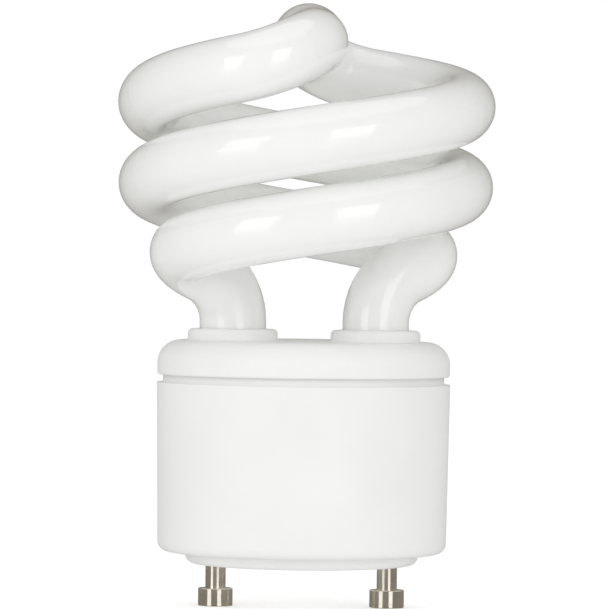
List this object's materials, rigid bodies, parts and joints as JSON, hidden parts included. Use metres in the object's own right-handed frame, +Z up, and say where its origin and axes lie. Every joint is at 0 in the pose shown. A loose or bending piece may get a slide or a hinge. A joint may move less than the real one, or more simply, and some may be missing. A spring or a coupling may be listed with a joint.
{
  "type": "compact fluorescent lamp",
  "caption": "Spiral fluorescent lamp: a coated glass tube wound as a double helix on a round plastic base that holds the ballast, with headed twist-lock contact pins below.",
  "frame": {"origin": "on the lamp's axis, in the plane of the contact pins' ends", "axes": "+Z up the lamp's axis from the pins to the glass, X through both contact pins, -Y the front"},
  "size_m": [0.0528, 0.0528, 0.0844],
  "materials": {
    "coated_glass": "glossy, white coating inside",
    "base_plastic": "satin moulded white",
    "pin_nickel": "nickel plated, turned",
    "lamp_cement": "chalky",
    "tinned_wire": "tinned",
    "ferrite": "ground ferrite",
    "copper_winding": "enamelled wire",
    "bobbin_plastic": "moulded",
    "film_epoxy": "dipped",
    "capacitor_sleeve": "shrunk sleeve",
    "black_epoxy": "moulded epoxy",
    "resistor_coat": "flameproof coat",
    "diac_glass": "coated glass bead",
    "board_laminate": "paper laminate"
  },
  "bodies": {
    "root": {"glass_spiral": "coated_glass", "lower_housing": "base_plastic", "upper_cap": "base_plastic", "contact_pin_left": "pin_nickel", "contact_pin_right": "pin_nickel", "tube_cement_left": "lamp_cement", "tube_cement_right": "lamp_cement", "supply_lead_left": "tinned_wire", "supply_lead_right": "tinned_wire", "filament_lead_1": "tinned_wire", "filament_lead_2": "tinned_wire", "filament_lead_3": "tinned_wire", "filament_lead_4": "tinned_wire", "wrap_post_1": "tinned_wire", "wrap_post_2": "tinned_wire", "wrap_post_3": "tinned_wire", "wrap_post_4": "tinned_wire", "choke_core_upper": "ferrite", "choke_core_lower": "ferrite", "drive_toroid": "ferrite", "line_inductor_core": "ferrite", "choke_winding": "copper_winding", "line_inductor_winding": "copper_winding", "drive_winding_1": "copper_winding", "drive_winding_2": "copper_winding", "drive_winding_3": "copper_winding", "choke_bobbin": "bobbin_plastic", "starting_capacitor": "film_epoxy", "coupling_capacitor": "film_epoxy", "electrolytic_capacitor": "capacitor_sleeve", "transistor_1": "black_epoxy", "transistor_2": "black_epoxy", "rectifier_diode_1": "black_epoxy", "rectifier_diode_2": "black_epoxy", "rectifier_diode_3": "black_epoxy", "rectifier_diode_4": "black_epoxy", "chip_resistor_1": "black_epoxy", "chip_resistor_2": "black_epoxy", "chip_resistor_3": "black_epoxy", "chip_resistor_4": "black_epoxy", "fusible_resistor": "resistor_coat", "diac": "diac_glass", "circuit_board": "board_laminate"}
  },
  "joints": []
}
